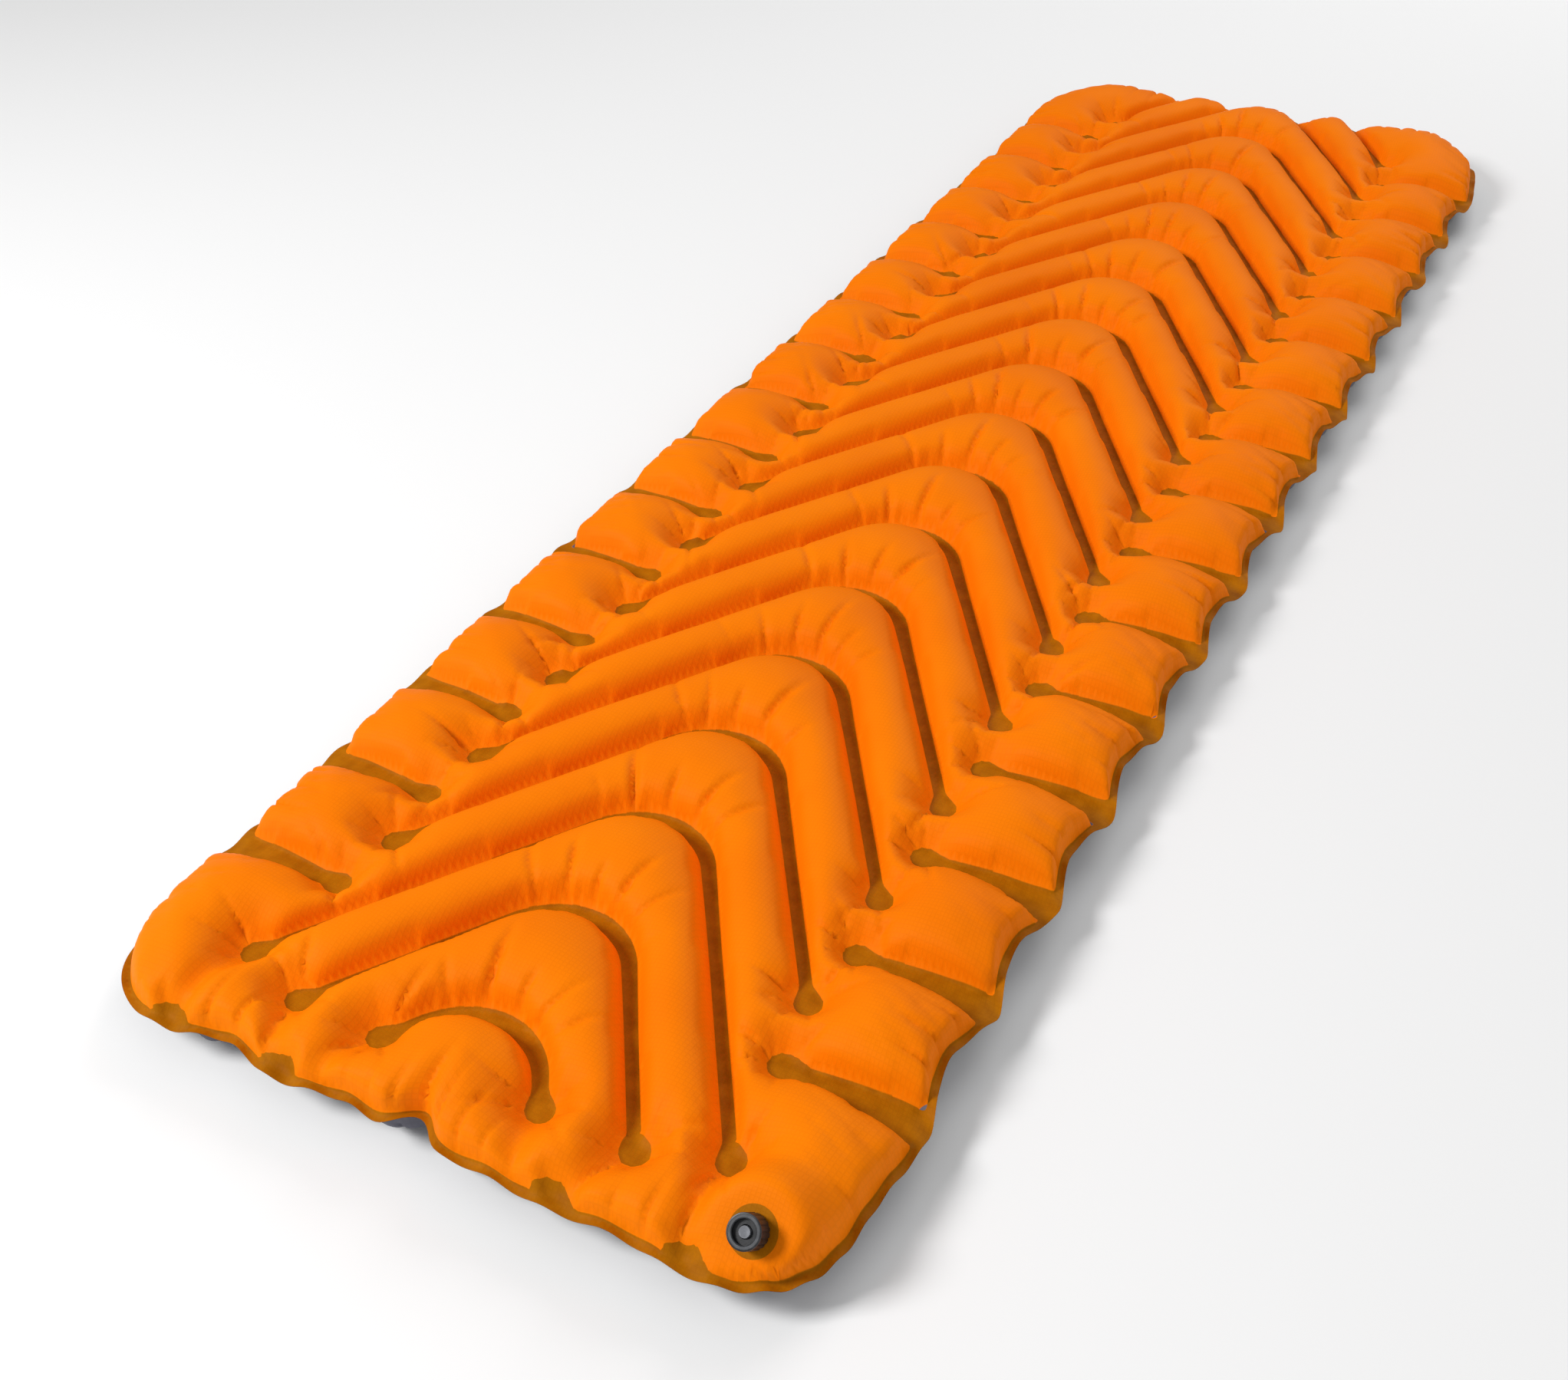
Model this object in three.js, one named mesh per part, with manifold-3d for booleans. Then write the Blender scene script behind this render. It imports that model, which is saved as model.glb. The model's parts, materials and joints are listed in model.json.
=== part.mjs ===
// Inflatable sleeping pad: two welded fabric sheets, a slotted batt of insulation and a twist valve.
//
// Frame: millimetres, +Z up, +Y towards the head end, +X to the sleeper's right when lying face up.
// The origin is under the middle of the pad, on the ground. The pad is blown up and lies flat.
//
// The two sheets are welded together along a rim, along chevrons whose points face the head end, and
// along wedges that divide each side rail into pillows. Between the welds the sheets bulge apart.

import * as THREE from "three";
import { mergeVertices } from "three/addons/utils/BufferGeometryUtils.js";
import Module from "manifold-3d";

const wasm = await Module();
wasm.setup();

// Pad, blown up
const PAD_LENGTH = 1829;
const PAD_WIDTH = 584;
const PAD_HEIGHT = 64;
const CORNER_RADIUS = 80;
const RIM_WELD = 8;
const EDGE_ROUNDING = 60;
const FABRIC = 0.4;
const GAP = 0.3;

// Chevron welds: row 1 is nearest the foot, and the last row runs off the head edge
const CHEVRON_ROWS = 18;
const FOOT_MARGIN = 107.5;
const HEAD_MARGIN = 5;
const CHEVRON_WIDTH = 9;
const CHEVRON_DROP = 215.4;
const CHEVRON_END_TO_SIDE = 116;
const APEX_RADIUS = 60;
const FOOT_CLEARANCE = 58;
const LONG_ROW = 3;
const LONG_ROW_EXTRA = 18;
const DOT_RADIUS = 9.5;
const DOT_FRONT = THREE.MathUtils.degToRad(50);

// Wedge welds in the side rails, one halfway between the ends of each two neighbouring chevrons
const WEDGE_LENGTH = 106.5;
const WEDGE_ROOT = 9;
const WEDGE_MOUTH = 30;

// How much wider a channel is at the crown of the pad than at the weld, on each side
const CHANNEL_FLARE = 11;

// Insulation batt
const BATT_THICKNESS = 12;
const BATT_INSET = 20;
const BATT_CLEARANCE = 1;

// Valve, in the foot corner on the +X side, leaning towards the foot
const VALVE_SIDE_INSET = 54;
const VALVE_FOOT_INSET = 31.5;
const VALVE_LEAN = THREE.MathUtils.degToRad(38);
const SEAT_RADIUS = 18;
const SEAT_DEPTH = 6;
const SEAT_HEADROOM = 12;
const BASE_RADIUS = 16.5;
const BASE_THICKNESS = 1.6;
const STEM_RADIUS = 7.6;
const STEM_BORE = 5.6;
const STEM_HEIGHT = 7.6;
const PLUG_RING_WALL = 1;
const PLUG_RING_FOOT = 2.5;
const PLUG_RING_HEIGHT = 3;
const PLUG_SPOKES = 3;
const PLUG_SPOKE_WIDTH = 1.4;
const PLUG_POST_RADIUS = 2;
const PLUG_SHOULDER_RADIUS = 5.4;
const PLUG_SHOULDER_HEIGHT = 1;
const PLUG_AIR_GAP = 1;
const PLUG_TIP_RADIUS = 3.6;
const GASKET_HEIGHT = 0.9;
const SLEEVE_WALL = 1.4;
const SLEEVE_LIFT_OFF = 1;
const SLEEVE_WEB = 1.7;
const SLEEVE_WEB_HOLE = 4.1;
const SLEEVE_RECESS_RADIUS = 7.6;
const SLEEVE_RECESS_DEPTH = 3.2;
const SLEEVE_GRIPS = 18;
const SLEEVE_GRIP_DEPTH = 0.45;
const LAND_SHARE = 0.6;
const SLEEVE_CHAMFER = 0.6;
const TIP_BELOW_RIM = 1.2;
const SEAL_SECTION = 1.4;
const SEAL_ABOVE_SEAT = 3;

// Places worked out from the sizes above
const WELD_Z = PAD_HEIGHT / 2;
const RISE = PAD_HEIGHT / 2;
const SEAM = GAP / 2;
const CHEVRON_PITCH = (PAD_LENGTH - FOOT_MARGIN - HEAD_MARGIN) / (CHEVRON_ROWS - 2);
const CHEVRON_REACH = PAD_WIDTH / 2 - CHEVRON_END_TO_SIDE;
const ARM_ANGLE = tangentAngle(CHEVRON_REACH, CHEVRON_DROP, APEX_RADIUS);
const BASE_TOP = -FABRIC - GAP;
const BASE_FOOT = BASE_TOP - BASE_THICKNESS;
const SHOULDER_FOOT = STEM_HEIGHT + PLUG_AIR_GAP;
const GASKET_FOOT = SHOULDER_FOOT + PLUG_SHOULDER_HEIGHT + GAP;
const WEB_FOOT = GASKET_FOOT + GASKET_HEIGHT + GAP;
const WEB_TOP = WEB_FOOT + SLEEVE_WEB;
const SLEEVE_TOP = WEB_TOP + SLEEVE_RECESS_DEPTH;
const SLEEVE_BORE = STEM_RADIUS + GAP;
const SLEEVE_RADIUS = SLEEVE_BORE + SEAL_SECTION + GAP + SLEEVE_WALL;

// Slope below the X axis of the line from a point on a circle's flank that just touches the circle.
// The circle's top is the chevron's apex, and the point is `reach` to its side and `drop` below it.
function tangentAngle(reach, drop, radius) {
  const toCentre = Math.hypot(reach, drop - radius);
  return Math.atan2(drop - radius, reach) + Math.asin(radius / toCentre);
}

// A closed three.js shape as a solid that can be joined and cut.
function solid(geometry) {
  const bare = geometry.clone();
  bare.deleteAttribute("normal");
  bare.deleteAttribute("uv");
  const merged = mergeVertices(bare, 1e-4);
  const vertProperties = merged.getAttribute("position").array;
  const triVerts = new Uint32Array(merged.index.array);
  return new wasm.Manifold(new wasm.Mesh({ numProp: 3, vertProperties, triVerts }));
}

// The joined and cut solid as a three.js geometry again.
function geometryOf(body) {
  const { vertProperties, triVerts } = body.getMesh();
  const geometry = new THREE.BufferGeometry();
  geometry.setAttribute("position", new THREE.BufferAttribute(vertProperties, 3));
  geometry.setIndex(new THREE.BufferAttribute(triVerts, 1));
  geometry.computeVertexNormals();
  return geometry;
}

// Pad outline in plan, moved in from the edge by `inset`.
function padOutline(inset) {
  const x = PAD_WIDTH / 2 - inset;
  const y = PAD_LENGTH / 2 - inset;
  const r = CORNER_RADIUS - inset;
  const outline = new THREE.Shape();
  outline.absarc(x - r, y - r, r, 0, Math.PI / 2);
  outline.absarc(r - x, y - r, r, Math.PI / 2, Math.PI);
  outline.absarc(r - x, r - y, r, Math.PI, 1.5 * Math.PI);
  outline.absarc(x - r, r - y, r, 1.5 * Math.PI, 2 * Math.PI);
  return outline;
}

// Outline of a pad with rounded edges and no channels, upper and lower half together.
// The weld plane is at z = 0, where the body is widest.
function crown(inset) {
  const rise = RISE - inset;
  const geometry = new THREE.ExtrudeGeometry(padOutline(RIM_WELD + inset), {
    depth: GAP,
    bevelThickness: rise - SEAM,
    bevelSize: EDGE_ROUNDING,
    bevelOffset: -EDGE_ROUNDING,
    bevelSegments: 2,
    curveSegments: 3,
  });
  return solid(geometry.translate(0, 0, -SEAM));
}

// A flat plate with the pad's outline.
function plate(inset, bottom, thickness) {
  const geometry = new THREE.ExtrudeGeometry(padOutline(inset), {
    depth: thickness,
    bevelEnabled: false,
    curveSegments: 3,
  });
  return solid(geometry.translate(0, 0, bottom));
}

// Apex of a chevron row, on the middle line of its weld.
function apexY(row) {
  return -PAD_LENGTH / 2 + FOOT_MARGIN + (row - 1) * CHEVRON_PITCH;
}

// How far below the apex an arm is, at a distance to the side that lies past the apex's curve.
function dropAt(reach) {
  const arcReach = APEX_RADIUS * Math.sin(ARM_ANGLE);
  const arcDrop = APEX_RADIUS * (1 - Math.cos(ARM_ANGLE));
  return arcDrop + (reach - arcReach) * Math.tan(ARM_ANGLE);
}

// Where a row's arm ends, given from its apex. Rows near the foot stop short of the foot edge.
function armEnd(row) {
  const room = apexY(row) + PAD_LENGTH / 2 - FOOT_CLEARANCE;
  const full = CHEVRON_REACH + (row === LONG_ROW ? LONG_ROW_EXTRA : 0);
  if (dropAt(full) <= room) return { reach: full, drop: dropAt(full) };
  const reach = full - (dropAt(full) - room) / Math.tan(ARM_ANGLE);
  return { reach, drop: room };
}

// Corners of the dot that ends a weld, in order round its tip. The weld arrives at (x, y) along `heading`.
function dotCorners(x, y, heading, halfWidth, extra) {
  const radius = DOT_RADIUS + extra;
  const neck = Math.PI - Math.asin(halfWidth / radius);
  return [neck, DOT_FRONT, -DOT_FRONT, -neck].map((bearing) => {
    const angle = heading - bearing;
    return [x + radius * Math.cos(angle), y + radius * Math.sin(angle)];
  });
}

// A chevron with its apex at the origin: an arc with two straight arms, each ending in a dot.
function chevronOutline(row, extra) {
  const { reach, drop } = armEnd(row);
  const halfWidth = CHEVRON_WIDTH / 2 + extra;
  const right = Math.PI / 2 - ARM_ANGLE;
  const left = Math.PI / 2 + ARM_ANGLE;
  const outline = new THREE.Shape();
  outline.absarc(0, -APEX_RADIUS, APEX_RADIUS + halfWidth, right, left);
  for (const corner of dotCorners(-reach, -drop, ARM_ANGLE - Math.PI, halfWidth, extra)) {
    outline.lineTo(...corner);
  }
  outline.absarc(0, -APEX_RADIUS, APEX_RADIUS - halfWidth, left, right, true);
  for (const corner of dotCorners(reach, -drop, -ARM_ANGLE, halfWidth, extra)) {
    outline.lineTo(...corner);
  }
  return outline;
}

// A wedge on the +X side with its dot at the origin, widening to past the pad's edge.
function wedgeOutline(extra) {
  const mouth = WEDGE_LENGTH + WEDGE_MOUTH;
  const outline = new THREE.Shape();
  outline.moveTo(mouth, -WEDGE_MOUTH / 2 - extra);
  outline.lineTo(mouth, WEDGE_MOUTH / 2 + extra);
  for (const corner of dotCorners(0, 0, Math.PI, WEDGE_ROOT / 2 + extra, extra)) {
    outline.lineTo(...corner);
  }
  return outline;
}

// A cutter that stands on z = 0 with the outline's own width, and is wider by the flare at z = height.
function flaredCutter(outline, height, flare) {
  const geometry = new THREE.ExtrudeGeometry(outline, {
    depth: RISE,
    bevelThickness: height,
    bevelSize: flare,
    bevelSegments: 1,
    curveSegments: 2,
    bevelEnabled: flare > 0,
  });
  return solid(flare > 0 ? geometry.translate(0, 0, height) : geometry);
}

// Every channel between the pillows and tubes as one cutter that stands on z = 0.
function channels(extra, height, flare) {
  const cutters = [];
  for (let row = 1; row <= CHEVRON_ROWS; row++) {
    const chevron = flaredCutter(chevronOutline(row, extra), height, flare);
    cutters.push(chevron.translate(0, apexY(row), 0));
  }
  const wedge = flaredCutter(wedgeOutline(extra), height, flare);
  const root = PAD_WIDTH / 2 - WEDGE_LENGTH;
  for (let row = LONG_ROW; row < CHEVRON_ROWS; row++) {
    const y = (apexY(row) + apexY(row + 1)) / 2 - CHEVRON_DROP;
    cutters.push(wedge.translate(root, y, 0));
    cutters.push(wedge.rotate(0, 0, 180).translate(-root, y, 0));
  }
  return cutters.reduce((sum, cutter) => sum.add(cutter));
}

// Height of the crown over the weld plane at a point inside the foot corner on the +X side.
function cornerHeight(x, y) {
  const fromCentre = Math.hypot(x - PAD_WIDTH / 2 + CORNER_RADIUS, y + PAD_LENGTH / 2 - CORNER_RADIUS);
  const inset = CORNER_RADIUS - RIM_WELD - fromCentre;
  const across = 1 - inset / EDGE_ROUNDING;
  return RISE * Math.sqrt(1 - across * across);
}

// Place of the valve: the middle of the flat seat on the top sheet's outer face.
function valveFrame() {
  const x = PAD_WIDTH / 2 - VALVE_SIDE_INSET;
  const y = -PAD_LENGTH / 2 + VALVE_FOOT_INSET;
  const frame = new THREE.Group();
  frame.position.set(x, y, WELD_Z + cornerHeight(x, y));
  frame.rotation.x = VALVE_LEAN;
  frame.updateMatrixWorld(true);
  return frame;
}

// A cylinder on the valve's axis, in the sheets' frame, whose weld plane is at z = 0.
function valveCylinder(radius, bottom, top) {
  const geometry = new THREE.CylinderGeometry(radius, radius, top - bottom, 24);
  geometry.rotateX(Math.PI / 2).translate(0, 0, (top + bottom) / 2);
  return solid(geometry.applyMatrix4(valve.matrixWorld).translate(0, 0, -WELD_Z));
}

// The upper sheet's blown-up form without its thickness: crown, channels and valve seat.
function sheetForm(inset, channelFoot, withSeat) {
  const height = RISE - channelFoot;
  let form = crown(inset);
  form = form.subtract(channels(inset, height, CHANNEL_FLARE).translate(0, 0, channelFoot));
  if (!withSeat) return form;
  form = form.subtract(valveCylinder(SEAT_RADIUS + inset, -inset, SEAT_HEADROOM));
  return form.add(valveCylinder(SEAT_RADIUS - inset, -SEAT_DEPTH, -inset));
}

// One sheet, from the weld plane up: a thin tray that is open underneath, with its flat rim.
function sheet(withSeat) {
  const above = new THREE.BoxGeometry(2 * PAD_WIDTH, 2 * PAD_LENGTH, PAD_HEIGHT);
  const upperHalf = solid(above.translate(0, 0, PAD_HEIGHT / 2 + SEAM));
  const outside = sheetForm(0, SEAM + FABRIC, withSeat).intersect(upperHalf);
  const inside = sheetForm(FABRIC, -SEAM, withSeat);
  const body = outside.add(plate(0, SEAM, FABRIC)).subtract(inside);
  if (!withSeat) return body;
  return body.subtract(valveCylinder(STEM_RADIUS + GAP, -SEAT_DEPTH, SEAT_HEADROOM));
}

// Insulation: one layer between the sheets, with a slot for every weld.
function batt() {
  const layer = plate(BATT_INSET, -BATT_THICKNESS / 2, BATT_THICKNESS);
  const widening = (CHANNEL_FLARE * BATT_THICKNESS) / 2 / RISE;
  const slots = channels(FABRIC + BATT_CLEARANCE + widening, PAD_HEIGHT, 0);
  return layer.subtract(slots.translate(0, 0, -BATT_THICKNESS));
}

// A turned part on the valve's axis: its profile is a closed loop of [radius, height] points.
function turned(profile, segments) {
  const points = [...profile, profile[0]].map(([r, z]) => new THREE.Vector2(r, z));
  const geometry = new THREE.LatheGeometry(points, segments);
  return geometry.rotateX(Math.PI / 2);
}

// Loop of [radius, height] points of a ring with a rectangular section.
function ringProfile(inner, outer, bottom, top) {
  return [
    [inner, bottom],
    [outer, bottom],
    [outer, top],
    [inner, top],
  ];
}

// Base: a disc under the top sheet with the stem that stands through it.
function valveBase() {
  return turned(
    [
      [STEM_BORE, BASE_FOOT],
      [BASE_RADIUS, BASE_FOOT],
      [BASE_RADIUS, BASE_TOP],
      [STEM_RADIUS, BASE_TOP],
      [STEM_RADIUS, STEM_HEIGHT],
      [STEM_BORE, STEM_HEIGHT],
    ],
    24,
  );
}

// Plug: a ring pressed into the stem, spokes, and the post that closes the sleeve's hole.
function valvePlug() {
  const ringOuter = STEM_BORE - GAP;
  const ringInner = ringOuter - PLUG_RING_WALL;
  const ringTop = PLUG_RING_FOOT + PLUG_RING_HEIGHT;
  const ring = solid(turned(ringProfile(ringInner, ringOuter, PLUG_RING_FOOT, ringTop), 16));
  const post = turned(
    [
      [0, PLUG_RING_FOOT],
      [PLUG_POST_RADIUS, PLUG_RING_FOOT],
      [PLUG_POST_RADIUS, SHOULDER_FOOT],
      [PLUG_SHOULDER_RADIUS, SHOULDER_FOOT],
      [PLUG_SHOULDER_RADIUS, SHOULDER_FOOT + PLUG_SHOULDER_HEIGHT],
      [PLUG_TIP_RADIUS, SHOULDER_FOOT + PLUG_SHOULDER_HEIGHT],
      [PLUG_TIP_RADIUS, SLEEVE_TOP - TIP_BELOW_RIM],
      [0, SLEEVE_TOP - TIP_BELOW_RIM],
    ],
    16,
  );
  let plug = ring.add(solid(post));
  const reach = ringOuter - PLUG_RING_WALL / 2;
  for (let spoke = 0; spoke < PLUG_SPOKES; spoke++) {
    const bar = new THREE.BoxGeometry(reach, PLUG_SPOKE_WIDTH, PLUG_RING_HEIGHT);
    bar.translate(reach / 2, 0, PLUG_RING_FOOT + PLUG_RING_HEIGHT / 2);
    plug = plug.add(solid(bar.rotateZ((spoke * 2 * Math.PI) / PLUG_SPOKES)));
  }
  return geometryOf(plug);
}

// Grip outline of the sleeve: a circle with shallow flutes.
function gripOutline() {
  const step = (2 * Math.PI) / SLEEVE_GRIPS;
  const corners = [
    [-LAND_SHARE / 2, SLEEVE_RADIUS],
    [LAND_SHARE / 2, SLEEVE_RADIUS],
    [0.5, SLEEVE_RADIUS - SLEEVE_GRIP_DEPTH],
  ];
  const points = [];
  for (let grip = 0; grip < SLEEVE_GRIPS; grip++) {
    for (const [turn, radius] of corners) {
      const angle = (grip + turn) * step;
      points.push(new THREE.Vector2(radius * Math.cos(angle), radius * Math.sin(angle)));
    }
  }
  return new THREE.Shape(points);
}

// Twist sleeve: turns on the stem, and its web lifts off the gasket as it rises.
function twistSleeve() {
  const height = SLEEVE_TOP - SLEEVE_LIFT_OFF;
  const barrel = new THREE.ExtrudeGeometry(gripOutline(), {
    depth: height - 2 * SLEEVE_CHAMFER,
    bevelThickness: SLEEVE_CHAMFER,
    bevelSize: SLEEVE_CHAMFER,
    bevelOffset: -SLEEVE_CHAMFER,
    bevelSegments: 1,
  });
  const above = SLEEVE_TOP + SLEEVE_CHAMFER;
  const sealTop = SEAL_ABOVE_SEAT + SEAL_SECTION + GAP;
  const bore = turned(
    [
      [0, 0],
      [SLEEVE_BORE, 0],
      [SLEEVE_BORE, SEAL_ABOVE_SEAT - GAP],
      [SLEEVE_BORE + SEAL_SECTION + GAP, SEAL_ABOVE_SEAT - GAP],
      [SLEEVE_BORE + SEAL_SECTION + GAP, sealTop],
      [SLEEVE_BORE, sealTop],
      [SLEEVE_BORE, WEB_FOOT],
      [SLEEVE_WEB_HOLE, WEB_FOOT],
      [SLEEVE_WEB_HOLE, WEB_TOP],
      [SLEEVE_RECESS_RADIUS, WEB_TOP],
      [SLEEVE_RECESS_RADIUS, above],
      [0, above],
    ],
    24,
  );
  barrel.translate(0, 0, SLEEVE_LIFT_OFF + SLEEVE_CHAMFER);
  return geometryOf(solid(barrel).subtract(solid(bore)));
}

// Seal ring in the sleeve's groove, running on the stem.
function sleeveSeal() {
  const top = SEAL_ABOVE_SEAT + SEAL_SECTION;
  return turned(ringProfile(SLEEVE_BORE, SLEEVE_BORE + SEAL_SECTION, SEAL_ABOVE_SEAT, top), 24);
}

// Gasket round the plug's tip, on its shoulder, which the sleeve's web closes on.
function plugGasket() {
  const inner = PLUG_TIP_RADIUS + GAP;
  const top = GASKET_FOOT + GASKET_HEIGHT;
  return turned(ringProfile(inner, PLUG_SHOULDER_RADIUS, GASKET_FOOT, top), 16);
}

// A named sub-part with its own material.
function part(name, geometry, color, roughness, metalness = 0) {
  const mesh = new THREE.Mesh(geometry, new THREE.MeshStandardMaterial({ color, roughness, metalness }));
  mesh.name = name;
  return mesh;
}

const ORANGE = 0xf97a08;
const GREY = 0x6d6a70;
const WHITE = 0xe8e6df;
const BLACK = 0x1d1d20;
const PLUG_GREY = 0x8c9094;
const SEAL_BLACK = 0x101012;

const valve = valveFrame();
valve.add(part("valve_base", valveBase(), BLACK, 0.5));
valve.add(part("valve_plug", valvePlug(), PLUG_GREY, 0.4));
valve.add(part("plug_gasket", plugGasket(), SEAL_BLACK, 0.8));
valve.add(part("sleeve_seal", sleeveSeal(), SEAL_BLACK, 0.8));
valve.add(part("twist_sleeve", twistSleeve(), BLACK, 0.45));

const topSheet = part("top_sheet", geometryOf(sheet(true)), ORANGE, 0.6);
topSheet.position.z = WELD_Z;

const bottomSheet = part("bottom_sheet", geometryOf(sheet(false)), GREY, 0.65);
bottomSheet.position.z = WELD_Z;
bottomSheet.rotation.y = Math.PI;

const insulation = part("insulation_batt", geometryOf(batt()), WHITE, 0.95);
insulation.position.z = WELD_Z;

const pad = new THREE.Group();
pad.add(topSheet, bottomSheet, insulation, valve);

export default pad;
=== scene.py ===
# %% [markdown]
# # An inflatable sleeping pad
# The pad is two sheets of coated nylon that are welded face to face along chevrons, wedges and a rim.
# Air lifts the sheets apart everywhere else, so the welds are what gives the pad its shape.
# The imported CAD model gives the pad's size and the valve's place. The weld pattern repeats that
# model's rows and pitch, with its rim, strips and wedge mouths a little narrower. This file makes the
# fabric and the finishes.

import json
import math

import bmesh
import bpy
import numpy as np
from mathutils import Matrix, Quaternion, Vector
from mathutils.geometry import delaunay_2d_cdt

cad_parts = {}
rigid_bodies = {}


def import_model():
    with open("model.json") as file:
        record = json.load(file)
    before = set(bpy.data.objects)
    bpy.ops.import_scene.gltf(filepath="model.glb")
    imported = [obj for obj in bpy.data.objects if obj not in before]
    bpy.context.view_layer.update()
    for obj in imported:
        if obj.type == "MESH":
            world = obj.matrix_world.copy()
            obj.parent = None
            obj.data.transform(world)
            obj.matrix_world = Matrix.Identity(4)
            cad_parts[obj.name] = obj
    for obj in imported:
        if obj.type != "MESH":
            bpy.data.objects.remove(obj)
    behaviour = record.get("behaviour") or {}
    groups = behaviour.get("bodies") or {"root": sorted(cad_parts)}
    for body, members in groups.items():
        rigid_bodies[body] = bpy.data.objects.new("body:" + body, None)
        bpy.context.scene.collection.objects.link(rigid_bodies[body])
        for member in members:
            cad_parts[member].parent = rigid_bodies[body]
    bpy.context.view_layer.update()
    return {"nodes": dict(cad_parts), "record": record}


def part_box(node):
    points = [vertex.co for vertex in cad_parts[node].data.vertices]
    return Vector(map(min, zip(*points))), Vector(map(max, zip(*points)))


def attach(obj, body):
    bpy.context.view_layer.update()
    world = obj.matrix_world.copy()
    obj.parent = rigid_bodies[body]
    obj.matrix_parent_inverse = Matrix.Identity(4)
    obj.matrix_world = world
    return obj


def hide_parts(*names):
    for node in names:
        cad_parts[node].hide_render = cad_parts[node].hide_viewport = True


for leftover in list(bpy.data.objects):
    bpy.data.objects.remove(leftover)
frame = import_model()

# %% [markdown]
# ## Camera
# The camera stands beyond the foot end, a little to the right, and looks down along the pad.
# A camera points along its own -Z, so `to_track_quat` turns the wanted direction into a rotation.

# %% Place the camera
CAMERA_PLACE = Vector((0.5774, -1.3905, 0.9536))
CAMERA_TARGET = Vector((-0.0006, -0.4134, 0.032))
CAMERA_ROLL = -0.05
SENSOR_WIDTH = 36.0
LENS = 41.02

camera_data = bpy.data.cameras.new("camera")
camera_data.sensor_width = SENSOR_WIDTH
camera_data.lens = LENS
camera = bpy.data.objects.new("camera", camera_data)
camera.location = CAMERA_PLACE
level_view = (CAMERA_TARGET - CAMERA_PLACE).to_track_quat("-Z", "Y")
camera.rotation_euler = (level_view @ Quaternion((0, 0, 1), CAMERA_ROLL)).to_euler()
bpy.context.scene.collection.objects.link(camera)
bpy.context.scene.camera = camera

# %% [markdown]
# ## The weld pattern
# Everything on the pad follows its welds, so they come first, as one function of a point in plan:
# how far that point is outside the nearest weld, and negative inside one. Such a distance function
# can place vertices, fill chambers with air and paint the welds, all from the same few sizes.

# %% Sizes of the pad and of its welds
MM = 0.001
top_low, top_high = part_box("top_sheet")
bottom_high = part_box("bottom_sheet")[1]
PAD_WIDTH = top_high[0] - top_low[0]
PAD_LENGTH = top_high[1] - top_low[1]
WELD_Z = (top_low[2] + bottom_high[2]) / 2

RIM_WELD = 5.8 * MM
CORNER_RADIUS = 80 * MM
CHEVRON_ROWS = 18
FOOT_MARGIN = 107.5 * MM
HEAD_MARGIN = 5 * MM
CHEVRON_REACH = PAD_WIDTH / 2 - 116 * MM
CHEVRON_DROP = 215.4 * MM
APEX_RADIUS = 60 * MM
FOOT_CLEARANCE = 58 * MM
LONG_ROW = 3
LONG_ROW_EXTRA = 18 * MM
STRIP_HALF = 4.0 * MM
APEX_EXTRA = 2.6 * MM
APEX_SPREAD = 55 * MM
DOT_RADIUS = 9.5 * MM
WEDGE_LENGTH = 106.5 * MM
WEDGE_ROOT_HALF = 4.5 * MM
WEDGE_MOUTH_HALF = 14 * MM
FIRST_WEDGE = 3
EAR_PLACES = (109 * MM, 204 * MM)
EAR_RADIUS = 16 * MM

PITCH = (PAD_LENGTH - FOOT_MARGIN - HEAD_MARGIN) / (CHEVRON_ROWS - 2)
to_end = math.hypot(CHEVRON_REACH, CHEVRON_DROP - APEX_RADIUS)
ARM_ANGLE = math.atan2(CHEVRON_DROP - APEX_RADIUS, CHEVRON_REACH) + math.asin(APEX_RADIUS / to_end)
ARC_REACH = APEX_RADIUS * math.sin(ARM_ANGLE)
ARC_DROP = APEX_RADIUS * (1 - math.cos(ARM_ANGLE))
print(f"pad {PAD_LENGTH:.3f} x {PAD_WIDTH:.3f} m, a chevron every {PITCH / MM:.1f} mm")


# %% Where the chevrons and wedges lie
def apex_y(row):
    """Y of a chevron's point; row 1 is nearest the foot."""
    return -PAD_LENGTH / 2 + FOOT_MARGIN + (row - 1) * PITCH


def wedge_y(row):
    """Y of the wedge between the ends of this chevron and the next."""
    return (apex_y(row) + apex_y(row + 1)) / 2 - CHEVRON_DROP


def arm_end(row):
    """Reach and drop of a chevron's arm end. The first rows are cut short by the foot edge."""
    reach = CHEVRON_REACH + (LONG_ROW_EXTRA if row == LONG_ROW else 0)
    drop = ARC_DROP + (reach - ARC_REACH) * math.tan(ARM_ANGLE)
    room = apex_y(row) + PAD_LENGTH / 2 - FOOT_CLEARANCE
    if drop > room:
        reach -= (drop - room) / math.tan(ARM_ANGLE)
        drop = room
    return reach, drop


# %% [markdown]
# ## Distance to a weld
# Each weld is a strip with a round dot at its free end, which spreads the pull of the air there.
# `smooth_min` joins strip and dot with a small fillet, as the welding tool does.

# %% Distance functions, vectorised over many points
def smooth_min(a, b, fillet):
    share = np.clip(0.5 + 0.5 * (b - a) / fillet, 0, 1)
    return b * (1 - share) + a * share - fillet * share * (1 - share)


def to_segment(x, y, start, end):
    run = (end[0] - start[0], end[1] - start[1])
    along = ((x - start[0]) * run[0] + (y - start[1]) * run[1]) / (run[0] ** 2 + run[1] ** 2)
    along = np.clip(along, 0, 1)
    return np.hypot(x - start[0] - along * run[0], y - start[1] - along * run[1])


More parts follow.
